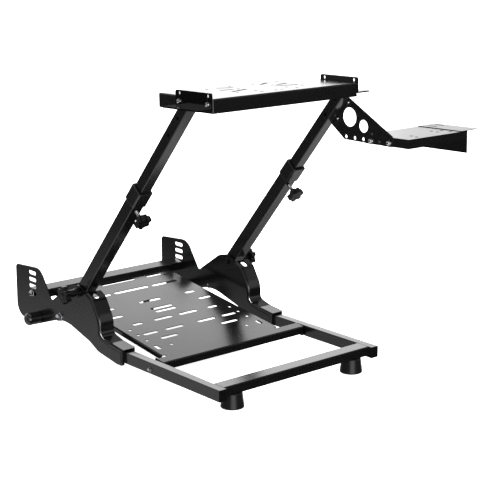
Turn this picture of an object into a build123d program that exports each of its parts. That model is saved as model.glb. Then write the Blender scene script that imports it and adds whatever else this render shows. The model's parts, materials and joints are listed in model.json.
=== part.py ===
"""Racing wheel stand: a steel base with two pressed side brackets, a raked telescopic mast
that carries a slotted wheel plate, a hinged pedal plate and a shifter tray on the right.

Millimetres, +Z up. X runs to the player's right and Y from the player towards the rear.
"""
import os
from math import cos, radians, sin, tan

from build123d import *

# Sheet thicknesses and fits
sheet = 3.0
plate_sheet = 2.0
tube_wall = 2.0
seat_gap = 0.3
swing_gap = 1.0
slide_gap = 0.5
run_gap = 0.05

# Base frame: two side rails and a flat cross tube on rubber feet
mast_x = 257.0
rail_width = 25.0
rail_height = 30.0
rail_bottom = 34.0
rail_length = 470.0
cross_depth = 40.0
cross_height = 25.0
cross_setback = 11.0
foot_radius = 30.0
foot_top_radius = 25.0
foot_x = 202.0
foot_round = 2.5
plug_depth = 10.0

# Mast: square tubes raked towards the player, lengths along their axis from the floor
rake = 39.8
mast_foot_y = 730.0
lower_size = 35.0
lower_start = 168.0
lower_end = 654.0
pivot_at = 241.0
pivot_radius = 5.0
pivot_head_radius = 9.0
pivot_head_thick = 5.0
collar_size = 42.0
collar_start = 607.0
collar_lip = 3.0
collar_round = 1.5
upper_size = lower_size - 2 * tube_wall - 2 * slide_gap
upper_start = 457.0
stop_hole_radius = 4.0
stop_hole_at = 911.0
stop_hole_pitch = 58.0

# Knobs: lobed heads on threaded shanks, on the mast and on the tilt pivot
lobe_count = 6
shank_radius = 4.0
knob_hub_radius = 10.0
knob_hub_length = 8.0
knob_round = 2.0
star_radius = 22.5
star_thick = 14.0
star_at = 590.0
star_shank = 20.0
tilt_knob_radius = 24.0
tilt_knob_thick = 16.0
tilt_shank = 27.0

# Wheel plate: a shallow tray turned upside down, a little higher at the player's edge
deck_tilt = 1.6
deck_front_y = 61.0
deck_top_z = 751.0
deck_inset = 22.0
deck_depth = 208.0
deck_flange = 35.0
angle_sheet = 4.0
angle_depth = 135.0
angle_drop = 27.0
angle_rise = 13.5
angle_over = 6.0
angle_corner = 5.0
angle_hole_inset = 14.0
angle_hole_rise = 6.0
angle_bolt_drop = 13.5
angle_hole_radius = 4.5
deck_hole_radius = 4.5
deck_slot_width = 9.0
deck_bend = 3.0

# Shifter arm on the right upper tube and its tray
tray_top_z = 619.0
tray_front_y = -83.0
tray_depth = 151.0
tray_right = 495.0
tray_flange = 24.0
tray_end_flange = 58.0
top_plate_left = 472.0
top_plate_right = 540.0
top_plate_sheet = 1.5
arm_toe = (-32.0, 593.0)
arm_tip = (-29.0, 620.0)
arm_peak = (150.0, 714.0)
arm_rear = (212.0, 642.0)
arm_heel = (141.0, 592.5)
arm_bend = 5.0
arm_heel_bend = 8.0
window_at = (124.5, 652.5)
window_radius = 25.0
small_window_at = (73.5, 634.5)
small_window_radius = 16.5
arm_hole_radius = 3.5
arm_round_radius = 5.0
tray_hole_radius = 5.0

# Brackets: one pressing for both sides; its outline's corners in depth and height, each with its bend
bracket_width = 46.0
cheek_bend = 8.0
toe_front = 384.0
toe_bottom = 29.0
toe_corner = 5.0
toe_lift = 3.0
toe_knee = (438.0, 76.0)
toe_knee_bend = 10.0
web_foot = (480.0, 87.0)
web_foot_bend = 16.0
web_knee = (481.0, 128.0)
web_knee_bend = 60.0
web_shoulder = (514.0, 181.0)
web_shoulder_bend = 35.0
web_end_y = 538.0
web_return = 14.0
web_hole_y = 523.0
web_hole_shift = 4.0
web_hole_length = 22.0
web_hole_width = 16.0
relief_width = 3.5
relief_length = 24.0
relief_height = 18.0
dome_front = (572.0, 206.0)
dome_front_bend = 22.0
dome_rear = (612.0, 197.0)
dome_rear_bend = 45.0
saddle = (709.0, 132.0)
saddle_bend = 8.0
flap_shoulder = (764.0, 213.0)
flap_shoulder_bend = 45.0
flap_rear = 889.0
flap_top = 203.0
flap_top_bend = 12.0
flap_bottom = 58.0
flap_heel_bend = 38.0
belly = (792.0, 46.0)
belly_bend = 14.0
arch_crown = (650.0, 95.0)
arch_bend = 150.0
arch_front = (527.0, 61.0)
arch_front_bend = 60.0
toe_heel = (488.0, 42.0)
toe_heel_bend = 40.0
toe_rise_y = 405.0
toe_rise_bend = 20.0
slot_y = 804.0
slot_z = 134.0
slot_pitch = 19.4
slot_length = 38.0
slot_height = 11.0
slot_count = 4
tie_y = 666.5
tie_z = 95.5
tie_radius = 4.0

# Rear bar with two legs on rubber feet
bar_radius = 15.0
bar_wall = 2.0
bar_y = 775.0
bar_z = 71.0
bar_reach = 324.0
cap_radius = 17.5
cap_round = 12.0
cap_end = 8.0
leg_x = 90.0
leg_radius = 10.0
rear_foot_radius = 24.0
rear_foot_height = 36.0

# Pedal plate, hinged between the rails and clamped at the rear in one of the flap's slots
pedal_x = -22.5
pedal_half = 196.0
pedal_front_y = 255.0
pedal_front_z = 62.5
pedal_slope = 7.5
pedal_rear_y = 783.0
pedal_flange = 13.0
pedal_front_flange = 22.0
strip_half = 240.0
strip_depth = 28.0
ear_depth = 36.0
ear_drop = 28.0
pedal_bend = 3.0
pedal_relief = 10.0
hinge_y = 275.0
hinge_z = 44.5
hinge_radius = 4.0
hinge_spacer_radius = 8.0
pedal_slot_width = 12.0
pedal_hole_radius = 5.0
rear_tube_rise = 11.0

# Place of the stand in the part's frame, whose origin lies on the floor below the middle of the whole
tilt = radians(deck_tilt)
slope = radians(pedal_slope)
lean = radians(rake)
axis = Vector(0, -sin(lean), cos(lean))
rail_top = rail_bottom + rail_height
deck_half = mast_x - deck_inset
knob_reach = mast_x + bracket_width / 2 + slide_gap + tilt_shank + knob_hub_length + tilt_knob_thick
stand_x = (max(bar_reach, knob_reach) - top_plate_right) / 2
front_y = (tray_end_flange * sin(tilt) - tray_front_y - flap_rear) / 2
sides = (("left", -1), ("right", 1))
pieces = {}


def side_plane(x):
    """Upright plane at x, drawn in depth and height and facing the player's right."""
    return Plane(origin=(stand_x + x, front_y, 0), x_dir=(0, 1, 0), z_dir=(1, 0, 0))


def mast_plane(x, along):
    """Plane square to the mast, at a length along its axis from the floor."""
    foot = Vector(stand_x + x, front_y + mast_foot_y, 0)
    return Plane(origin=foot + axis * along, x_dir=(1, 0, 0), z_dir=axis)


def on_mast(along):
    """Depth and height of a point on the mast's axis."""
    return mast_foot_y - sin(lean) * along, cos(lean) * along


def level_plane(x, y, z):
    """Plane of the wheel plate and of the shifter tray, with depth running to the rear."""
    return Plane(origin=(stand_x + x, front_y + y, z), x_dir=(1, 0, 0), z_dir=(0, sin(tilt), cos(tilt)))


def tube(plane, width, height, length):
    """Rectangular tube with rounded edges, drawn on a plane and run along its normal."""
    with BuildPart() as run:
        with BuildSketch(plane):
            RectangleRounded(width, height, tube_wall)
            Rectangle(width - 2 * tube_wall, height - 2 * tube_wall, mode=Mode.SUBTRACT)
        extrude(amount=length)
    return run.part


def knob(plane, shank, radius, thick):
    """Lobed hand grip on a short hub, at the end of a threaded shank."""
    bite = radius * sin(radians(180 / lobe_count))
    with BuildPart() as grip:
        with BuildSketch(plane):
            Circle(shank_radius)
        extrude(amount=shank)
        with BuildSketch(plane.offset(shank)):
            Circle(knob_hub_radius)
        extrude(amount=knob_hub_length)
        with BuildSketch(plane.offset(shank + knob_hub_length)) as lobes:
            Circle(radius)
            with PolarLocations(radius + 0.15 * bite, lobe_count):
                Circle(0.62 * bite, mode=Mode.SUBTRACT)
            fillet(lobes.vertices(), knob_round)
        extrude(amount=thick)
        fillet(grip.faces().sort_by(Axis(plane.origin, plane.z_dir))[-1].edges(), knob_round)
    return grip.part


def cone_foot(x, y, radius, top_radius, height):
    """Conical rubber foot standing on the floor."""
    with BuildPart() as rubber:
        with Locations((stand_x + x, front_y + y, 0)):
            Cone(radius, top_radius, height, align=(Align.CENTER, Align.CENTER, Align.MIN))
        fillet(rubber.edges().filter_by(GeomType.CIRCLE), foot_round)
    return rubber.part


# Side rails, front cross tube and front feet
for name, side in sides:
    rail_end = Plane(origin=(stand_x + side * mast_x, front_y, rail_bottom + rail_height / 2),
                     x_dir=(1, 0, 0), z_dir=(0, 1, 0))
    pieces[f"{name}_rail"] = tube(rail_end, rail_width, rail_height, rail_length)
    with BuildPart() as plug:
        with BuildSketch(rail_end):
            Rectangle(rail_width - 2 * tube_wall, rail_height - 2 * tube_wall)
        extrude(amount=plug_depth)
    pieces[f"{name}_rail_plug"] = plug.part
cross_half = mast_x - rail_width / 2
cross_y = cross_setback + cross_depth / 2
cross_bottom = rail_top - cross_height
cross_end = Plane(origin=(stand_x - cross_half, front_y + cross_y, cross_bottom + cross_height / 2),
                  x_dir=(0, 1, 0), z_dir=(1, 0, 0))
pieces["front_cross_tube"] = tube(cross_end, cross_depth, cross_height, 2 * cross_half)
for name, side in sides:
    pieces[f"{name}_front_foot"] = cone_foot(side * foot_x, cross_y, foot_radius, foot_top_radius, cross_bottom)

# Side brackets: slotted cheek, curved front web and a toe that climbs from the rail
toe_top = rail_top + toe_lift + sheet
web_rise = (dome_front[1] - web_shoulder[1]) / (dome_front[0] - web_shoulder[0])
web_end = (web_end_y, web_shoulder[1] + web_rise * (web_end_y - web_shoulder[0]))
web_points = ((toe_front, toe_top), toe_knee, web_foot, web_knee, web_shoulder, web_end)
web_bends = (toe_knee_bend, web_foot_bend, web_knee_bend, web_shoulder_bend)
toe_rise = (toe_rise_y, toe_bottom)
cheek_points = web_points[:5] + (
    dome_front, dome_rear, saddle, flap_shoulder, (flap_rear, flap_top), (flap_rear, flap_bottom), belly,
    arch_crown, arch_front, toe_heel, toe_rise, (toe_front, toe_bottom))
cheek_bends = (0.0,) + web_bends + (
    dome_front_bend, dome_rear_bend, saddle_bend, flap_shoulder_bend, flap_top_bend, flap_heel_bend, belly_bend,
    arch_bend, arch_front_bend, toe_heel_bend, toe_rise_bend, 0.0)
toe_wall_points = ((toe_front, toe_bottom), (toe_front, toe_top), toe_knee, web_foot,
                   (web_foot[0] + web_return / 2, web_foot[1] + web_return), toe_heel, toe_rise)
lip = (bracket_width - rail_width) / 2 - seat_gap
pivot_y, pivot_z = on_mast(pivot_at)
for name, side in sides:
    cheek_x = side * mast_x - bracket_width / 2
    with BuildLine(side_plane(cheek_x)) as crease:
        FilletPolyline(web_points, radius=web_bends)
    nose = Plane(origin=crease.line @ 0, x_dir=(1, 0, 0), z_dir=crease.line % 0)
    with BuildPart() as bracket:
        with BuildSketch(side_plane(cheek_x)):
            with BuildLine():
                FilletPolyline(cheek_points, radius=cheek_bends, close=True)
            make_face()
            with Locations([(slot_y, slot_z + slot_pitch * step) for step in range(slot_count)]):
                SlotOverall(slot_length, slot_height, mode=Mode.SUBTRACT)
            with Locations((pivot_y, pivot_z)):
                Circle(pivot_radius + seat_gap, mode=Mode.SUBTRACT)
            with Locations((tie_y, tie_z)):
                Circle(tie_radius, mode=Mode.SUBTRACT)
            with Locations((bar_y, bar_z)):
                Circle(bar_radius + seat_gap, mode=Mode.SUBTRACT)
        extrude(amount=sheet)
        with BuildSketch(side_plane(cheek_x)):
            with BuildLine():
                FilletPolyline(web_points, radius=web_bends)
                offset(amount=sheet, side=Side.RIGHT)
            make_face()
        extrude(amount=bracket_width)
        with BuildSketch(side_plane(cheek_x + bracket_width - sheet)):
            with BuildLine():
                FilletPolyline(web_points, radius=web_bends)
                offset(amount=web_return, side=Side.RIGHT)
            make_face()
            with BuildLine():
                Polyline(toe_wall_points, close=True)
            make_face()
        extrude(amount=sheet)
        with BuildSketch(Plane(origin=(stand_x + side * mast_x, front_y + toe_front, (toe_bottom + toe_top) / 2),
                               x_dir=(1, 0, 0), z_dir=(0, 1, 0))):
            with Locations(((lip - bracket_width) / 2, 0), ((bracket_width - lip) / 2, 0)):
                Rectangle(lip, toe_top - toe_bottom)
        extrude(amount=sheet)
        corners = bracket.edges().filter_by(Axis.Z).group_by(Axis.Y)[0].sort_by(Axis.X)
        fillet((corners[0], corners[-1]), toe_corner)
        with BuildSketch(nose):
            Polygon((sheet, sheet), (cheek_bend, sheet), (sheet, cheek_bend), align=None)
        sweep(path=crease.line)
        with BuildSketch(nose):
            with Locations((cheek_bend, cheek_bend)):
                Rectangle(2 * cheek_bend, 2 * cheek_bend, align=(Align.MAX, Align.MAX))
                Circle(cheek_bend, mode=Mode.SUBTRACT)
        sweep(path=crease.line, mode=Mode.SUBTRACT)
        with BuildSketch(side_plane(cheek_x + sheet)):
            with Locations((web_foot[0] - relief_length / 3, web_foot[1] - relief_height / 6)):
                Rectangle(relief_length, relief_height)
        extrude(amount=relief_width, mode=Mode.SUBTRACT)
        hole_z = web_shoulder[1] + web_rise * (web_hole_y - web_shoulder[0])
        with BuildSketch(Plane(origin=(stand_x + side * mast_x - web_hole_shift, front_y + web_hole_y, hole_z),
                               x_dir=(0, 1, web_rise), z_dir=(0, -web_rise, 1))):
            SlotOverall(web_hole_length, web_hole_width)
        extrude(amount=2 * sheet, both=True, mode=Mode.SUBTRACT)
    pieces[f"{name}_bracket"] = bracket.part

# Rear bar through both cheeks, with end caps, legs and feet
tube_reach = bar_reach - cap_end
cap_start = mast_x + bracket_width / 2 + swing_gap
with BuildPart() as rear_bar:
    with BuildSketch(side_plane(-tube_reach)):
        with Locations((bar_y, bar_z)):
            Circle(bar_radius)
            Circle(bar_radius - bar_wall, mode=Mode.SUBTRACT)
    extrude(amount=2 * tube_reach)
pieces["rear_bar"] = rear_bar.part
for name, side in sides:
    with BuildPart() as cap:
        with BuildSketch(side_plane(side * cap_start)):
            with Locations((bar_y, bar_z)):
                Circle(cap_radius)
        extrude(amount=side * (bar_reach - cap_start))
        end_round = min(cap_round, 0.9 * (bar_reach - cap_start))
        fillet(cap.edges().filter_by(GeomType.CIRCLE).sort_by(Axis.X)[-1 if side > 0 else 0], end_round)
        with BuildSketch(side_plane(side * cap_start)):
            with Locations((bar_y, bar_z)):
                Circle(bar_radius + seat_gap)
        extrude(amount=side * (tube_reach - cap_start), mode=Mode.SUBTRACT)
    pieces[f"{name}_bar_cap"] = cap.part
    with BuildPart() as leg:
        with BuildSketch(Plane(origin=(stand_x + side * leg_x, front_y + bar_y, rear_foot_height))):
            Circle(leg_radius)
        extrude(amount=bar_z - rear_foot_height)
        with BuildSketch(side_plane(side * leg_x)):
            with Locations((bar_y, bar_z)):
                Circle(bar_radius + seat_gap)
        extrude(amount=2 * leg_radius, both=True, mode=Mode.SUBTRACT)
    pieces[f"{name}_rear_leg"] = leg.part
    pieces[f"{name}_rear_foot"] = cone_foot(side * leg_x, bar_y, rear_foot_radius, rear_foot_radius - 4, rear_foot_height)

# Mast: lower tubes with their clamping collars, and the tubes that slide in them
deck = level_plane(0, deck_front_y, deck_top_z)
for name, side in sides:
    lower = mast_plane(side * mast_x, lower_start)
    with BuildPart() as lower_tube:
        add(tube(lower, lower_size, lower_size, lower_end - lower_start))
        with BuildSketch(side_plane(side * mast_x)):
            with Locations((pivot_y, pivot_z)):
                Circle(pivot_radius + run_gap)
        extrude(amount=lower_size, both=True, mode=Mode.SUBTRACT)
    pieces[f"{name}_lower_tube"] = lower_tube.part
    with BuildPart() as collar:
        with BuildSketch(mast_plane(side * mast_x, collar_start)):
            RectangleRounded(collar_size, collar_size, 5)
        extrude(amount=lower_end + collar_lip - collar_start)
        ends = collar.faces().sort_by(Axis(lower.origin, lower.z_dir))
        fillet(ends[0].edges() + ends[-1].edges(), collar_round)
        with BuildSketch(mast_plane(side * mast_x, collar_start)):
            RectangleRounded(lower_size, lower_size, tube_wall)
        extrude(amount=lower_end - collar_start, mode=Mode.SUBTRACT)
        with BuildSketch(mast_plane(side * mast_x, lower_end)):
            Rectangle(lower_size - 2 * tube_wall, lower_size - 2 * tube_wall)
        extrude(amount=collar_lip, mode=Mode.SUBTRACT)
    pieces[f"{name}_collar"] = collar.part
    with BuildPart() as upper_tube:
        add(tube(mast_plane(side * mast_x, upper_start), upper_size, upper_size, 600))
        split(bisect_by=deck.offset(-angle_drop), keep=Keep.BOTTOM)
        with BuildSketch(side_plane(side * mast_x)):
            with Locations(on_mast(stop_hole_at), on_mast(stop_hole_at - stop_hole_pitch)):
                Circle(stop_hole_radius)
        extrude(amount=upper_size, both=True, mode=Mode.SUBTRACT)
    pieces[f"{name}_upper_tube"] = upper_tube.part
    star = mast_plane(side * mast_x, star_at)
    star_seat = Plane(origin=star.origin - star.y_dir * (lower_size / 2 + slide_gap), x_dir=(1, 0, 0),
                      z_dir=-star.y_dir)
    pieces[f"{name}_height_knob"] = knob(star_seat, star_shank, star_radius, star_thick)

# Pivot bolts: each runs through the cheek, a washer and the foot of the lower tube
washer_thick = bracket_width / 2 - sheet - lower_size / 2 - seat_gap
for name, side in sides:
    cheek_x = side * mast_x - bracket_width / 2
    head_x = side * (mast_x - lower_size / 2 - slide_gap) if side < 0 else cheek_x - pivot_head_thick
    with BuildPart() as pivot_bolt:
        with BuildSketch(side_plane(cheek_x)):
            with Locations((pivot_y, pivot_z)):
                Circle(pivot_radius)
        extrude(amount=bracket_width / 2 + lower_size / 2 + slide_gap)
        with BuildSketch(side_plane(cheek_x + sheet)):
            with Locations((pivot_y, pivot_z)):
                Circle(pivot_head_radius)
        extrude(amount=washer_thick)
        with BuildSketch(side_plane(head_x)):
            with Locations((pivot_y, pivot_z)):
                RegularPolygon(pivot_head_radius, 6)
        extrude(amount=pivot_head_thick)
    pieces[f"{name}_pivot_bolt"] = pivot_bolt.part

# Tilt knobs on the pivot: outside the left cheek and outside the right lower tube
left_seat = Plane(origin=(stand_x - mast_x - bracket_width / 2 - slide_gap, front_y + pivot_y, pivot_z),
                  x_dir=(0, 1, 0), z_dir=(-1, 0, 0))
right_seat = Plane(origin=(stand_x + mast_x + lower_size / 2 + slide_gap, front_y + pivot_y, pivot_z),
                   x_dir=(0, 1, 0), z_dir=(1, 0, 0))
pieces["left_tilt_knob"] = knob(left_seat, tilt_shank, tilt_knob_radius, tilt_knob_thick)
pieces["right_tilt_knob"] = knob(right_seat, tilt_shank, tilt_knob_radius, tilt_knob_thick)

# Wheel plate with its slots, and the angles that bolt it to the upper tubes
deck_holes = ((38, 176), (115, 170), (56, 121), (50, 62), (105, 64), (57, 31), (10, 33))
deck_slots = (((48, 155), (80, 170)), ((75, 121), (106, 127)), ((50, 100), (104, 84)))
with BuildPart() as wheel_plate:
    with BuildSketch(deck):
        with Locations((0, deck_depth / 2)):
            Rectangle(2 * deck_half, deck_depth)
    extrude(amount=-deck_flange)
    corners = wheel_plate.edges().filter_by(Axis(deck.origin, deck.z_dir))
    fillet(corners + wheel_plate.faces().sort_by(Axis.Z)[-1].edges(), deck_bend)
    with BuildSketch(deck.offset(-plate_sheet)):
        with Locations((0, deck_depth / 2)):
            Rectangle(2 * (deck_half - plate_sheet), deck_depth - 2 * plate_sheet)
    extrude(amount=-deck_flange, mode=Mode.SUBTRACT)
    with BuildSketch(deck):
        for side in (-1, 1):
            with Locations([(side * x, v) for x, v in deck_holes]):
                Circle(deck_hole_radius)
            for (x0, v0), (x1, v1) in deck_slots:
                with BuildLine():
                    run = Line((side * x0, v0), (side * x1, v1))
                SlotArc(run, deck_slot_width)
    extrude(amount=-plate_sheet, mode=Mode.SUBTRACT)
pieces["wheel_plate"] = wheel_plate.part
angle_far = angle_depth - angle_hole_inset
for name, side in sides:
    leg_face = Plane(origin=deck.origin + deck.x_dir * side * deck_half, x_dir=deck.y_dir, z_dir=deck.x_dir)
    foot_reach = mast_x + upper_size / 2 + angle_over
    with BuildPart() as angle:
        with BuildSketch(leg_face):
            with BuildLine():
                FilletPolyline((0, angle_rise), (angle_depth, angle_rise), (angle_depth, -angle_drop), (0, -angle_drop),
                               radius=(angle_corner, angle_corner, 0, 0), close=True)
            make_face()
            with Locations((angle_hole_inset, angle_hole_rise), (angle_far, angle_hole_rise),
                           (angle_hole_inset, -angle_bolt_drop), (angle_far, -angle_bolt_drop)):
                Circle(angle_hole_radius, mode=Mode.SUBTRACT)
        extrude(amount=side * angle_sheet)
        with BuildSketch(deck.offset(-angle_drop)):
            with Locations((side * (deck_half + foot_reach) / 2, angle_depth / 2)):
                Rectangle(foot_reach - deck_half, angle_depth)
        extrude(amount=angle_sheet)
    pieces[f"{name}_end_angle"] = angle.part

# Shifter arm on the outer face of the right upper tube, its tray and the plate on top
arm_x = mast_x + upper_size / 2
arm_holes = ((15, 601.5), (42, 618), (143, 686.5), (180, 643), (45, 600.5), (-18, 602.5))
arm_rounds = ((135.5, 600.5), (104, 600.5), (73, 601))
with BuildPart() as shifter_arm:
    with BuildSketch(side_plane(arm_x)):
        with BuildLine():
            FilletPolyline(arm_toe, arm_tip, arm_peak, arm_rear, arm_heel,
                           radius=(arm_bend, arm_bend, arm_bend, arm_bend, arm_heel_bend), close=True)
        make_face()
        with Locations(window_at):
            Circle(window_radius, mode=Mode.SUBTRACT)
        with Locations(small_window_at):
            Circle(small_window_radius, mode=Mode.SUBTRACT)
        with Locations(arm_holes):
            Circle(arm_hole_radius, mode=Mode.SUBTRACT)
        with Locations(arm_rounds):
            Circle(arm_round_radius, mode=Mode.SUBTRACT)
    extrude(amount=sheet)
pieces["shifter_arm"] = shifter_arm.part
tray_left = arm_x + sheet
tray = level_plane((tray_left + tray_right) / 2, tray_front_y, tray_top_z)
tray_width = tray_right - tray_left
tray_holes = ((-56, 41), (-60, 20), (43, 64), (41, 41), (68, 52), (69, 22))
with BuildPart() as shifter_tray:
    with BuildSketch(tray):
        with Locations((0, tray_depth / 2)):
            Rectangle(tray_width, tray_depth)
    extrude(amount=-tray_flange)
    with BuildSketch(tray):
        with Locations((tray_width / 2 - plate_sheet / 2, tray_depth / 2)):
            Rectangle(plate_sheet, tray_depth)
    extrude(amount=-tray_end_flange)
    with BuildSketch(tray.offset(-plate_sheet)):
        with Locations((0, tray_depth / 2)):
            Rectangle(tray_width - 2 * plate_sheet, tray_depth - 2 * plate_sheet)
    extrude(amount=-tray_flange, mode=Mode.SUBTRACT)
    with BuildSketch(tray):
        with Locations(tray_holes):
            Circle(tray_hole_radius)
    extrude(amount=-plate_sheet, mode=Mode.SUBTRACT)
pieces["shifter_tray"] = shifter_tray.part
top_plane = level_plane((top_plate_left + top_plate_right) / 2, tray_front_y, tray_top_z)
with BuildPart() as shifter_plate:
    with BuildSketch(top_plane):
        with Locations((0, tray_depth / 2)):
            Rectangle(top_plate_right - top_plate_left, tray_depth)
        with Locations((-14, 118), (14, 118)):
            SlotOverall(32, 2 * arm_hole_radius, rotation=90, mode=Mode.SUBTRACT)
    extrude(amount=top_plate_sheet)
pieces["shifter_plate"] = shifter_plate.part

# Pedal plate: slotted sheet with turned-down edges and ears for the hinge bolts
pedal = Plane(origin=(stand_x + pedal_x, front_y + pedal_front_y, pedal_front_z), x_dir=(1, 0, 0),
              z_dir=(0, -sin(slope), cos(slope)))
pedal_length = (pedal_rear_y - pedal_front_y) / cos(slope)
pedal_slots = ((0, 59, 509), (126, 27, 507), (0, 59, 442), (117, 45, 441), (0, 36, 353), (141, 17, 352), (0, 37, 299),
               (153, 21, 299), (0, 35, 279), (43, 31, 234), (129, 16, 234), (55, 30, 168), (134, 24, 168), (103, 28, 127))
pedal_holes = ((159, 494), (172, 209), (172, 172), (172, 133), (129, 84))
with BuildPart() as pedal_plate:
    with BuildSketch(pedal):
        with Locations((0, pedal_length / 2)):
            Rectangle(2 * pedal_half, pedal_length)
        with Locations((-pedal_x, strip_depth / 2)):
            Rectangle(2 * strip_half, strip_depth)
        for x, half, v in pedal_slots:
            with Locations(*{(-x, v), (x, v)}):
                SlotOverall(2 * half, pedal_slot_width, mode=Mode.SUBTRACT)
        for x, v in pedal_holes:
            with Locations((-x, v), (x, v)):
                Circle(pedal_hole_radius, mode=Mode.SUBTRACT)
        with Locations((-174, 85), (174, 85)):
            SlotOverall(26, pedal_slot_width, rotation=90, mode=Mode.SUBTRACT)
        for side in (-1, 1):
            with Locations((side * (pedal_half - pedal_relief / 2), strip_depth + pedal_relief / 2)):
                Rectangle(pedal_relief, pedal_relief, mode=Mode.SUBTRACT)
    extrude(amount=-plate_sheet)
    fold_start = strip_depth + pedal_relief
    with BuildSketch(pedal):
        for side in (-1, 1):
            with Locations((side * (pedal_half - plate_sheet / 2), (fold_start + pedal_length) / 2)):
                Rectangle(plate_sheet, pedal_length - fold_start)
    extrude(amount=-pedal_flange)
    with BuildSketch(pedal):
        with Locations((-pedal_x, plate_sheet / 2)):
            Rectangle(2 * strip_half, plate_sheet)
    extrude(amount=-pedal_front_flange)
    with BuildSketch(pedal):
        for side in (-1, 1):
            with Locations((side * (strip_half - plate_sheet / 2) - pedal_x, ear_depth / 2)):
                Rectangle(plate_sheet, ear_depth)
    extrude(amount=-ear_drop)
    upward = Axis(pedal.origin, pedal.z_dir)
    folds = pedal_plate.edges().filter_by(Axis(pedal.origin, pedal.y_dir)).group_by(SortBy.LENGTH)[-1].sort_by(upward)
    front_fold = pedal_plate.edges().filter_by(Axis.X).group_by(SortBy.LENGTH)[-1].sort_by(upward)
    fillet((folds[-1], folds[-2], front_fold[-1]), pedal_bend)
    with BuildSketch(side_plane(0)):
        with Locations((hinge_y, hinge_z)):
            Circle(hinge_radius + run_gap)
    extrude(amount=strip_half + sheet, both=True, mode=Mode.SUBTRACT)
pieces["pedal_plate"] = pedal_plate.part
for name, side in sides:
    rail_face = Plane(origin=(stand_x + side * cross_half, front_y + hinge_y, hinge_z), x_dir=(0, 1, 0),
                      z_dir=(-side, 0, 0))
    with BuildPart() as hinge_bolt:
        with BuildSketch(rail_face):
            Circle(hinge_spacer_radius)
        extrude(amount=cross_half - strip_half - slide_gap)
        with BuildSketch(rail_face):
            Circle(hinge_radius)
        extrude(amount=cross_half - strip_half + sheet + pivot_head_thick)
    pieces[f"{name}_hinge_bolt"] = hinge_bolt.part
rear_left = -mast_x - bracket_width / 2 + sheet + swing_gap
rear_right = mast_x - bracket_width / 2 - swing_gap
rear_middle = pedal.origin + pedal.y_dir * (pedal_length + cross_depth / 2) + pedal.z_dir * (rear_tube_rise - cross_height / 2)
rear_end = Plane(origin=(stand_x + rear_left, rear_middle.Y, rear_middle.Z), x_dir=pedal.y_dir, z_dir=(1, 0, 0))
pieces["rear_cross_tube"] = tube(rear_end, cross_depth, cross_height, rear_right - rear_left)

os.makedirs("parts", exist_ok=True)
for name, piece in pieces.items():
    piece.label = name
    export_step(piece, f"parts/{name}.step")
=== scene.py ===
"""Racing wheel stand: finishes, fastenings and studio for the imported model. Metres, +Z up."""

import json
from math import cos, pi, radians, sin

import bmesh
import bpy
from mathutils import Matrix, Vector


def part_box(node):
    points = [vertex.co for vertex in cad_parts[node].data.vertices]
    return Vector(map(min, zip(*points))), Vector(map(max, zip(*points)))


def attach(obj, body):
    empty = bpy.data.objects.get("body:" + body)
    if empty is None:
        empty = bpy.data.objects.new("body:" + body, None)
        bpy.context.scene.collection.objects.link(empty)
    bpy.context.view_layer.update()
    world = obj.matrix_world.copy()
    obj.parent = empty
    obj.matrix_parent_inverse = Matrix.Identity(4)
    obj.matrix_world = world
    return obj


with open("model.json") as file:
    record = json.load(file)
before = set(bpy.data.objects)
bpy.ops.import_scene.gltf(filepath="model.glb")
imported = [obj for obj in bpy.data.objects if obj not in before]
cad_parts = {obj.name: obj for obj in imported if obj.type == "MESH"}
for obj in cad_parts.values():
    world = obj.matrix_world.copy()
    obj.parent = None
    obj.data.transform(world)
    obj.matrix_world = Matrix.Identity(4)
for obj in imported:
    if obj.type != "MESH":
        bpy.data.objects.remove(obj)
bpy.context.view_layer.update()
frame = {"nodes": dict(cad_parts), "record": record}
nodes = frame["nodes"]

# Welded steel of the base, mast and arm, and the pedal plate. All of it is phosphated and powder coated black in
# one colour, so one coat with a faint orange peel and a few soft handling marks covers it.
coat_peel = bpy.data.node_groups.new("coat peel", "ShaderNodeTree")
coat_peel.interface.new_socket("Peel Size", in_out="INPUT", socket_type="NodeSocketFloat").default_value = 260.0
coat_peel.interface.new_socket("Smooth", in_out="INPUT", socket_type="NodeSocketFloat").default_value = 0.2
coat_peel.interface.new_socket("Dull", in_out="INPUT", socket_type="NodeSocketFloat").default_value = 0.3
coat_peel.interface.new_socket("Height", in_out="OUTPUT", socket_type="NodeSocketFloat")
coat_peel.interface.new_socket("Roughness", in_out="OUTPUT", socket_type="NodeSocketFloat")
peel_in = coat_peel.nodes.new("NodeGroupInput")
peel_out = coat_peel.nodes.new("NodeGroupOutput")
peel_place = coat_peel.nodes.new("ShaderNodeTexCoord")
peel_noise = coat_peel.nodes.new("ShaderNodeTexNoise")
peel_noise.inputs["Detail"].default_value = 2.0
handling = coat_peel.nodes.new("ShaderNodeTexNoise")
handling.inputs["Scale"].default_value = 9.0
handling.inputs["Detail"].default_value = 4.0
handling_range = coat_peel.nodes.new("ShaderNodeMapRange")
handling_range.inputs["From Min"].default_value = 0.35
handling_range.inputs["From Max"].default_value = 0.75
coat_peel.links.new(peel_place.outputs["Object"], peel_noise.inputs["Vector"])
coat_peel.links.new(peel_place.outputs["Object"], handling.inputs["Vector"])
coat_peel.links.new(peel_in.outputs["Peel Size"], peel_noise.inputs["Scale"])
coat_peel.links.new(handling.outputs["Fac"], handling_range.inputs["Value"])
coat_peel.links.new(peel_in.outputs["Smooth"], handling_range.inputs["To Min"])
coat_peel.links.new(peel_in.outputs["Dull"], handling_range.inputs["To Max"])
coat_peel.links.new(peel_noise.outputs["Fac"], peel_out.inputs["Height"])
coat_peel.links.new(handling_range.outputs["Result"], peel_out.inputs["Roughness"])
full_gloss = 0.5


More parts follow.
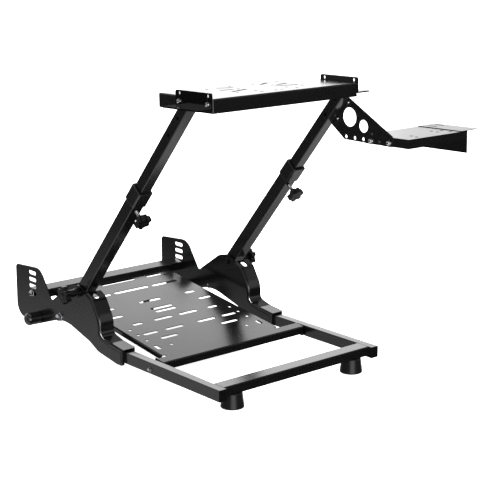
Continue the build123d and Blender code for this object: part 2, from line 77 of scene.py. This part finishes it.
def coated(name, colour, peel_size, smooth, dull, depth, gloss=full_gloss, metallic=0.0):
    """Material with the coat's peel as bump and its handling marks as roughness."""
    material = bpy.data.materials.new(name)
    material.use_nodes = True
    tree = material.node_tree
    shader = tree.nodes["Principled BSDF"]
    shader.inputs["Base Color"].default_value = (*colour, 1.0)
    shader.inputs["Specular IOR Level"].default_value = gloss
    shader.inputs["Metallic"].default_value = metallic
    peel = tree.nodes.new("ShaderNodeGroup")
    peel.node_tree = coat_peel
    peel.inputs["Peel Size"].default_value = peel_size
    peel.inputs["Smooth"].default_value = smooth
    peel.inputs["Dull"].default_value = dull
    bump = tree.nodes.new("ShaderNodeBump")
    bump.inputs["Strength"].default_value = 0.25
    bump.inputs["Distance"].default_value = depth
    tree.links.new(peel.outputs["Height"], bump.inputs["Height"])
    tree.links.new(bump.outputs["Normal"], shader.inputs["Normal"])
    tree.links.new(peel.outputs["Roughness"], shader.inputs["Roughness"])
    return material


def dress(material, *names):
    """Give nodes of the model their material."""
    for name in names:
        nodes[name].data.materials.clear()
        nodes[name].data.materials.append(material)


coat_black = (0.002, 0.002, 0.0022)
coat_finish = {"peel_size": 260.0, "smooth": 0.185, "dull": 0.215, "depth": 0.0002}
painted = [piece["node"] for piece in frame["record"]["subparts"] if piece["material_slot"] == "paint"]
dress(coated("black powder coat", coat_black, **coat_finish), *painted)

# Pressed side brackets, folded from one blank of steel sheet each. Their broad sheet has taken a heavier coat than the
# tubes, which reflects a little less.
dress(coated("bracket powder coat", coat_black, peel_size=230.0, smooth=0.175, dull=0.205, depth=0.0002, gloss=0.42),
      "left_bracket", "right_bracket")

# Wheel plate and shifter tray, punched and folded from sheet. The upright walls of the punched holes and slots get no
# reflection where the rest of the plate shines: painted shade that keeps the holes dark.
mm = 0.001
rail_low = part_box("left_rail")[0]
rail_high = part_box("right_rail")[1]
stand = Vector(((rail_low.x + rail_high.x) / 2, rail_low.y, 0.0))
tilt = radians(1.6)
plate_up = Vector((0.0, sin(tilt), cos(tilt)))
deck_edge = Vector((0.0, 61.0, 751.0))
tray_edge = Vector((0.0, -83.0, 619.0))
punched_depth = 1.9 * mm
for name, edge in (("wheel_plate", deck_edge), ("shifter_tray", tray_edge)):
    plate_coat = coated(name + " powder coat", coat_black, **coat_finish)
    tree = plate_coat.node_tree
    plate_place = tree.nodes.new("ShaderNodeTexCoord")
    near_top = tree.nodes.new("ShaderNodeMath")
    near_top.operation = "GREATER_THAN"
    near_top.inputs[1].default_value = (stand + edge * mm).dot(plate_up) - punched_depth
    upright = tree.nodes.new("ShaderNodeMath")
    upright.operation = "COMPARE"
    upright.inputs[1].default_value = 0.0
    upright.inputs[2].default_value = 0.5
    for output, test in (("Object", near_top), ("Normal", upright)):
        along_up = tree.nodes.new("ShaderNodeVectorMath")
        along_up.operation = "DOT_PRODUCT"
        along_up.inputs[1].default_value = plate_up
        tree.links.new(plate_place.outputs[output], along_up.inputs[0])
        tree.links.new(along_up.outputs["Value"], test.inputs[0])
    # Painted shade: upright faces just under the plate's top, the holes' walls, lose their reflection and show black.
    hole_shade_mask = tree.nodes.new("ShaderNodeMath")
    hole_shade_mask.operation = "MULTIPLY"
    tree.links.new(near_top.outputs["Value"], hole_shade_mask.inputs[0])
    tree.links.new(upright.outputs["Value"], hole_shade_mask.inputs[1])
    hole_painted_shade = tree.nodes.new("ShaderNodeMapRange")
    hole_painted_shade.inputs["To Min"].default_value = full_gloss
    hole_painted_shade.inputs["To Max"].default_value = 0.0
    tree.links.new(hole_shade_mask.outputs["Value"], hole_painted_shade.inputs["Value"])
    tree.links.new(hole_painted_shade.outputs["Result"], tree.nodes["Principled BSDF"].inputs["Specular IOR Level"])
    dress(plate_coat, name)

# End angles of the wheel plate, each bent from thick flat bar. Their coat is smoother than on the welded frame, and is
# made darker and less shiny as painted shade that dims their lit faces.
dress(coated("angle powder coat", (0.0015, 0.0015, 0.0016), peel_size=200.0, smooth=0.09, dull=0.12, depth=0.0001,
             gloss=0.2), "left_end_angle", "right_end_angle")

# Conical feet under the front cross tube and the rear bar. They are moulded from black rubber with the satin skin
# of a polished mould, and a screw from above holds each one.
dress(coated("black rubber", (0.004, 0.004, 0.004), peel_size=900.0, smooth=0.27, dull=0.32, depth=0.0001, gloss=0.2),
      "left_front_foot", "right_front_foot", "left_rear_foot", "right_rear_foot")

# Clamping collars on the mast and end caps of the rear bar. They are moulded from black nylon with a fine
# spark-eroded grain, and press on over the tubes' ends.
nylon_grain = {"peel_size": 1400.0, "smooth": 0.17, "dull": 0.24, "depth": 0.0001}
dress(coated("black nylon", (0.0025, 0.0025, 0.0025), **nylon_grain),
      "left_collar", "right_collar", "left_bar_cap", "right_bar_cap")

# Lobed hand knobs and the plugs in the rails' front ends. They are moulded from the same nylon with glass fibre in it,
# which leaves a deeper and less shiny black.
knob_nylon = coated("knob nylon", (0.002, 0.002, 0.002), gloss=0.2, **nylon_grain)
dress(knob_nylon, "left_height_knob", "right_height_knob", "left_tilt_knob", "right_tilt_knob",
      "left_rail_plug", "right_rail_plug")

# Pivot bolts of the mast and hinge bolts of the pedal plate. They are steel, zinc plated and passivated black,
# with the cloudy variation that plating has.
plating = {"peel_size": 500.0, "depth": 0.00005, "metallic": 1.0}
dark_zinc = coated("dark zinc", (0.07, 0.07, 0.075), smooth=0.16, dull=0.34, **plating)
dress(dark_zinc, "left_pivot_bolt", "right_pivot_bolt", "left_hinge_bolt", "right_hinge_bolt")

# Tie bolts of the side brackets, one low on each cheek: hexagon bolts with their heads and washers on the cheeks'
# outer faces, cold headed from steel and plated. A nut holds the left one, and the right one ends in a thread.
bolt_zinc = coated("bolt zinc", (0.45, 0.45, 0.46), smooth=0.1, dull=0.18, **plating)
broken_edge = 0.3
facets = 32
weld_distance = 0.001
sharp_from = radians(35.0)


def seat(x, y, z, facing):
    """Place on the stand, in millimetres from the rails' front ends, with the shape's +Z along facing."""
    turn = Vector(facing).to_track_quat("Z", "Y").to_matrix().to_4x4()
    return Matrix.Translation(stand + Vector((x, y, z)) * mm) @ turn @ Matrix.Scale(mm, 4)


def turned(shape, section, closed=False):
    """Turn a half section, given as radius and height, once round the Z axis."""
    points = [shape.verts.new((radius, 0.0, height)) for radius, height in section]
    pairs = list(zip(points, points[1:])) + ([(points[-1], points[0])] if closed else [])
    runs = [shape.edges.new(pair) for pair in pairs]
    bmesh.ops.spin(shape, geom=points + runs, axis=(0.0, 0.0, 1.0), cent=(0.0, 0.0, 0.0), angle=2.0 * pi, steps=facets,
                   use_merge=True)


def washer(shape, bore, rim, low, high):
    """Flat ring with its two outer edges broken."""
    edge = broken_edge if high > low else -broken_edge
    turned(shape, ((bore, low), (rim - broken_edge, low), (rim, low + edge), (rim, high - edge),
                   (rim - broken_edge, high), (bore, high)), closed=True)


def hexagon(shape, across, low, high):
    """Six-sided head or nut whose outer end is chamfered and has a shallow dish."""
    thick = high - low
    corner = across / 2 / cos(pi / 6)
    flats, chamfer, dish = abs(thick) * 0.86, abs(thick) * 0.14, abs(thick) * 0.08
    chamfer_width, dish_rim = across * 0.07, across * 0.1
    made = bmesh.ops.create_cone(shape, cap_ends=True, segments=6, radius1=corner, radius2=corner, depth=flats,
                                 matrix=Matrix.Translation((0.0, 0.0, low + thick * 0.43)))
    faces = {face for vert in made["verts"] for face in vert.link_faces}
    outer = max(faces, key=lambda face: face.calc_center_median().z * thick)
    bmesh.ops.inset_individual(shape, faces=[outer], thickness=chamfer_width, depth=chamfer)
    bmesh.ops.inset_individual(shape, faces=[outer], thickness=dish_rim, depth=-dish)


def fitted(name, shape, material, body, place):
    """Finish a shape as a piece: closed, facing outwards, in its place and riding on its body."""
    bmesh.ops.remove_doubles(shape, verts=shape.verts, dist=weld_distance)
    bmesh.ops.recalc_face_normals(shape, faces=shape.faces)
    bmesh.ops.transform(shape, matrix=place, verts=shape.verts)
    mesh = bpy.data.meshes.new(name)
    shape.to_mesh(mesh)
    shape.free()
    mesh.shade_smooth()
    mesh.set_sharp_from_angle(angle=sharp_from)
    mesh.materials.append(material)
    piece = bpy.data.objects.new(name, mesh)
    bpy.context.collection.objects.link(piece)
    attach(piece, body)


def hex_bolt(name, body, place, across, grip, nut=True, shank=None):
    """Bolt with its head on the place's plane, through a grip, with a nut behind it or its end left in a thread."""
    shape = bmesh.new()
    washer_thick, head, nut_thick = 0.13 * across, 0.42 * across, 0.52 * across
    shank = shank or 0.3 * across
    rim = 0.63 * across
    end = -grip
    washer(shape, shank, rim, 0.0, washer_thick)
    hexagon(shape, across, washer_thick, washer_thick + head)
    if nut:
        washer(shape, shank, rim, end, end - washer_thick)
        hexagon(shape, across, end - washer_thick, end - washer_thick - nut_thick)
        past_nut = 2.0
        end -= washer_thick + nut_thick + past_nut
    play, point = 0.1, 0.8
    core = shank - play
    top = washer_thick - play
    turned(shape, ((0.0, top), (core, top), (core, end + point), (core - point, end), (0.0, end)))
    fitted(name, shape, bolt_zinc, body, place)


cheek_sheet = 3.0
cheek_left = -280.0
cheek_right = 237.0
cheeks = (("left", cheek_left, -1), ("right", cheek_right, 1))
tie_bolt = (666.5, 95.5)
for end, face, side in cheeks:
    hex_bolt(f"{end}_tie_bolt", "base", seat(face, *tie_bolt, (side, 0, 0)), across=18.0, grip=cheek_sheet,
             nut=side < 0, shank=3.9)

# Heads of the two bolts that the pedal plate hinges on, cold headed and plated. They sit with their washers on the
# rails' outer faces; the shanks that the plate turns on are pieces of the model.
hinge_bolt = (275.0, 44.5)
rail_face = 269.5
for end, side in (("left", -1), ("right", 1)):
    hex_bolt(f"{end}_hinge_bolt_head", "base", seat(side * rail_face, *hinge_bolt, (side, 0, 0)), across=10.0, grip=2.0,
             nut=False)

# Clamp bolts at the rear corners of the pedal plate. Each runs through one of the flap's four slots into the end
# of the rear tube, and sets the plate's slope. Its washer slides on the flap.
clamp_bolt = (805.0, 134.0)
slide = 0.15
for end, face, side in cheeks:
    hex_bolt(f"{end}_clamp_bolt", "pedals", seat(face + side * slide, *clamp_bolt, (side, 0, 0)), across=14.0, grip=6.0,
             nut=False)

# Washers on the tilt pivot, between each knob and the sheet or tube that it clamps. They are punched from steel
# and plated black.
lean = radians(39.8)
mast_foot = 730.0
pivot_at = 241.0
pivot = (mast_foot - pivot_at * sin(lean), pivot_at * cos(lean))
tube_face = 274.5
for end, body, face, side in (("left", "base", cheek_left, -1), ("right", "mast", tube_face, 1)):
    ring = bmesh.new()
    washer(ring, bore=4.9, rim=11.0, low=0.0, high=2.0)
    fitted(f"{end}_pivot_washer", ring, dark_zinc, body, seat(face, *pivot, (side, 0, 0)))

# Threaded shanks of the four hand knobs: rolled M8 studs, zinc plated, moulded into the nylon grips. A pressed cap
# closes the bore on each grip's outer face.
bright_zinc = coated("bright zinc", (0.2, 0.2, 0.205), smooth=0.22, dull=0.42, **plating)
stud = 4.0
pitch = 1.25
thread_rise = (0.04, 0.5, 0.04)
around = 24
mast_x = 257.0
knob_at = 590.0
half_tube = 18.0
knob_gap = 0.5
height_stud, height_face = 20.0, 42.0
tilt_stud, tilt_face = 27.0, 51.0
tip_gap, in_grip = 0.05, 0.4
knob_seat = (mast_foot - knob_at * sin(lean) - half_tube * cos(lean), knob_at * cos(lean) - half_tube * sin(lean))
toward_player = (0.0, -cos(lean), -sin(lean))
cap_section = ((0.0, -0.4), (7.6, -0.4), (7.6, 0.5), (7.2, 0.9), (5.6, 1.1), (5.2, 0.7), (0.0, 0.8))
for name, place, length, face in (
        ("left_height_knob", seat(-mast_x, *knob_seat, toward_player), height_stud, height_face),
        ("right_height_knob", seat(mast_x, *knob_seat, toward_player), height_stud, height_face),
        ("left_tilt_knob", seat(cheek_left - knob_gap, *pivot, (-1, 0, 0)), tilt_stud, tilt_face),
        ("right_tilt_knob", seat(tube_face + knob_gap, *pivot, (1, 0, 0)), tilt_stud, tilt_face)):
    thread = bmesh.new()
    crest = [thread.verts.new((stud + rise, 0.0, step * pitch / 2 - pitch)) for step, rise in enumerate(thread_rise)]
    flanks = [thread.edges.new(pair) for pair in zip(crest, crest[1:])]
    turns = int(length / pitch) + 2
    bmesh.ops.spin(thread, geom=crest + flanks, axis=(0.0, 0.0, 1.0), cent=(0.0, 0.0, 0.0),
                   dvec=(0.0, 0.0, pitch / around), angle=2.0 * pi * turns, steps=around * turns)
    bmesh.ops.remove_doubles(thread, verts=thread.verts, dist=weld_distance)
    for cut, low_end in ((tip_gap, True), (length + in_grip, False)):
        bmesh.ops.bisect_plane(thread, geom=thread.verts[:] + thread.edges[:] + thread.faces[:],
                               plane_co=(0.0, 0.0, cut), plane_no=(0.0, 0.0, 1.0), clear_inner=low_end,
                               clear_outer=not low_end)
    bmesh.ops.holes_fill(thread, edges=[edge for edge in thread.edges if edge.is_boundary], sides=0)
    fitted(name + "_stud", thread, bright_zinc, name, place)
    cap = bmesh.new()
    turned(cap, cap_section)
    fitted(name + "_cap", cap, knob_nylon, name, place @ Matrix.Translation((0.0, 0.0, face)))

# Sleeves on the two tilt knobs: turned nylon tubes round the studs that press the pivot's washers when the knobs are
# tightened.
sleeve_section = ((4.8, 2.6), (12.4, 2.6), (13.0, 3.2), (13.0, 9.0), (10.6, 11.0), (10.2, 26.8), (4.8, 26.8))
for name, face, side in (("left_tilt_knob", cheek_left - knob_gap, -1), ("right_tilt_knob", tube_face + knob_gap, 1)):
    sleeve = bmesh.new()
    turned(sleeve, sleeve_section, closed=True)
    fitted(name + "_sleeve", sleeve, knob_nylon, name, seat(face, *pivot, (side, 0, 0)))

# Bolts that fix the wheel plate's end flanges to the two angles, two at each end. They are small plated hexagon bolts
# with their nuts inside the plate.
angle_face = 239.0
below = 13.5
for end, side in (("left", -1), ("right", 1)):
    for spot, along in (("front", 14.0), ("rear", 121.0)):
        hex_bolt(f"{end}_{spot}_angle_bolt", "upper",
                 seat(side * angle_face, deck_edge.y + along * cos(tilt) - below * sin(tilt),
                      deck_edge.z - along * sin(tilt) - below * cos(tilt), (side, 0, 0)), across=9.0, grip=6.0)

# Bolts of the shifter arm: two through the tray's flange, with nuts inside the tray, and two from outside into the
# upper tube of the mast.
arm_inner = 272.0
arm_outer = 275.0
for name, spot in (("tray_rear_bolt", (45.0, 600.5)), ("tray_front_bolt", (-18.0, 602.5))):
    hex_bolt(name, "upper", seat(arm_inner, *spot, (-1, 0, 0)), across=10.0, grip=5.0)
for name, spot in (("arm_upper_bolt", (143.0, 686.5)), ("arm_lower_bolt", (180.0, 643.0))):
    hex_bolt(name, "upper", seat(arm_outer, *spot, (1, 0, 0)), across=10.0, grip=4.0, nut=False)

# Round-headed screws in the arm, each with its driving socket: two plated ones in front of the tube, and two black
# ones over the tray's flange.
screw_section = ((0.0, 1.2), (1.5, 1.2), (1.7, 2.7), (3.0, 2.4), (4.0, 1.2), (4.2, 0.0), (2.4, 0.0), (2.4, -6.0),
                 (0.0, -6.0))
for name, spot, metal in (
        ("arm_upper_screw", (129.5, 690.3), bolt_zinc), ("arm_lower_screw", (168.2, 643.9), bolt_zinc),
        ("tray_upper_screw", (42.0, 618.0), dark_zinc), ("tray_middle_screw", (15.0, 601.5), dark_zinc)):
    screw = bmesh.new()
    turned(screw, screw_section)
    fitted(name, screw, metal, "upper", seat(arm_inner, *spot, (-1, 0, 0)))

# Studio: a white light table that runs out of view under a broad soft lamp. The coat's gloss doesn't see the table;
# it sees only the surround below, as in a product picture cut out on white.
sweep = bmesh.new()
bmesh.ops.create_grid(sweep, x_segments=1, y_segments=1, size=80.0)
floor_mesh = bpy.data.meshes.new("floor")
sweep.to_mesh(floor_mesh)
sweep.free()
floor = bpy.data.objects.new("floor", floor_mesh)
bpy.context.collection.objects.link(floor)
pale = bpy.data.materials.new("pale floor")
pale.use_nodes = True
pale_shader = pale.node_tree.nodes["Principled BSDF"]
pale_shader.inputs["Base Color"].default_value = (0.92, 0.92, 0.92, 1.0)
pale_shader.inputs["Roughness"].default_value = 0.9
pale_shader.inputs["Specular IOR Level"].default_value = 0.1
pale_shader.inputs["Emission Color"].default_value = (1.0, 1.0, 1.0, 1.0)
pale_shader.inputs["Emission Strength"].default_value = 0.9
floor_mesh.materials.append(pale)
floor.visible_glossy = False
lamp = bpy.data.lights.new("overhead", "AREA")
lamp.shape = "SQUARE"
lamp.size = 8.0
lamp.energy = 420.0
overhead = bpy.data.objects.new("overhead", lamp)
overhead.location = (0.0, 0.5, 4.5)
overhead.visible_glossy = False
bpy.context.collection.objects.link(overhead)

# Surround: a pale band all round at low height that is brightest behind the stand, a dim room over it with a light in
# the ceiling, glows from below on four sides, and a soft box near the camera for rounded corners.
world = bpy.data.worlds.new("studio")
bpy.context.scene.world = world
world.use_nodes = True
sky = world.node_tree
sky.nodes["Background"].inputs["Color"].default_value = (1.0, 1.0, 1.0, 1.0)
sky_place = sky.nodes.new("ShaderNodeTexCoord")
sky_part = sky.nodes.new("ShaderNodeSeparateXYZ")
sky.links.new(sky_place.outputs["Generated"], sky_part.inputs["Vector"])
across_x = sky_part.outputs["X"]
along_y = sky_part.outputs["Y"]
height = sky_part.outputs["Z"]


def graded(source, start, stop, first, last):
    """Smooth step of a surround value from one level to another."""
    step = sky.nodes.new("ShaderNodeMapRange")
    step.interpolation_type = "SMOOTHSTEP"
    for socket, level in (("From Min", start), ("From Max", stop), ("To Min", first), ("To Max", last)):
        step.inputs[socket].default_value = level
    sky.links.new(source, step.inputs["Value"])
    return step.outputs["Result"]


def combined(operation, *values):
    """Sum or product of surround values."""
    total = values[0]
    for value in values[1:]:
        joined = sky.nodes.new("ShaderNodeMath")
        joined.operation = operation
        sky.links.new(total, joined.inputs[0])
        sky.links.new(value, joined.inputs[1])
        total = joined.outputs["Value"]
    return total


def toward(x, y):
    """How far a direction points to one side."""
    side = sky.nodes.new("ShaderNodeVectorMath")
    side.operation = "DOT_PRODUCT"
    side.inputs[1].default_value = (x, y, 0.0)
    sky.links.new(sky_place.outputs["Generated"], side.inputs[0])
    return side.outputs["Value"]


behind = toward(0.646, 0.763)
in_front = toward(-0.646, -0.763)
beside_camera = toward(-0.473, -0.881)
backdrop = combined("MULTIPLY", graded(behind, -0.2, 0.85, 0.9, 2.6), graded(height, -0.02, 0.02, 0.0, 1.0),
                    graded(height, 0.08, 0.12, 0.75, 1.0), graded(height, 0.47, 0.57, 1.0, 0.03),
                    graded(across_x, 0.69, 0.73, 1.0, 0.62))
left_glow = combined("MULTIPLY", graded(height, -0.3, -0.245, 0.78, 0.0), graded(across_x, -0.3, 0.2, 1.0, 0.0),
                     graded(along_y, -0.3, 0.0, 0.0, 1.0))
low_glow = combined("MULTIPLY", graded(height, -0.72, -0.45, 1.45, 0.0), graded(along_y, 0.03, 0.09, 1.0, 0.1),
                    graded(along_y, -0.3, 0.0, 0.0, 1.0))
rear_glow = combined("MULTIPLY", graded(behind, 0.5, 0.9, 0.0, 0.8), graded(height, -0.7, -0.5, 0.0, 1.0),
                     graded(height, -0.25, -0.15, 1.0, 0.0))
front_glow = combined("MULTIPLY", graded(in_front, 0.5, 0.9, 0.0, 0.35), graded(height, -0.7, -0.5, 0.0, 1.0),
                      graded(height, -0.25, -0.15, 1.0, 0.0))
soft_box = combined("MULTIPLY", graded(beside_camera, 0.84, 0.98, 0.0, 5.0), graded(height, -0.3, -0.22, 0.0, 1.0),
                    graded(height, 0.15, 0.4, 1.0, 0.0))
room = combined("ADD", graded(height, 0.47, 0.57, 0.05, 0.3), graded(height, 0.78, 0.95, 0.0, 1.2))
surround = combined("ADD", backdrop, left_glow, low_glow, rear_glow, front_glow, soft_box, room)
sky.links.new(surround, sky.nodes["Background"].inputs["Strength"])

# Camera at the photograph's place and angle, found by fitting a pinhole to the stand's corners and edges. It looks
# from the front left and a little above the wheel plate, through a long lens.
lens = bpy.data.cameras.new("camera")
lens.lens = 104.68
lens.sensor_width = 36.0
camera = bpy.data.objects.new("camera", lens)
camera.location = (-2.3621, -2.8302, 1.1953)
camera.rotation_euler = (radians(76.35), 0.0, radians(-40.23))
bpy.context.collection.objects.link(camera)
bpy.context.scene.camera = camera
bpy.context.scene.view_settings.view_transform = "Standard"
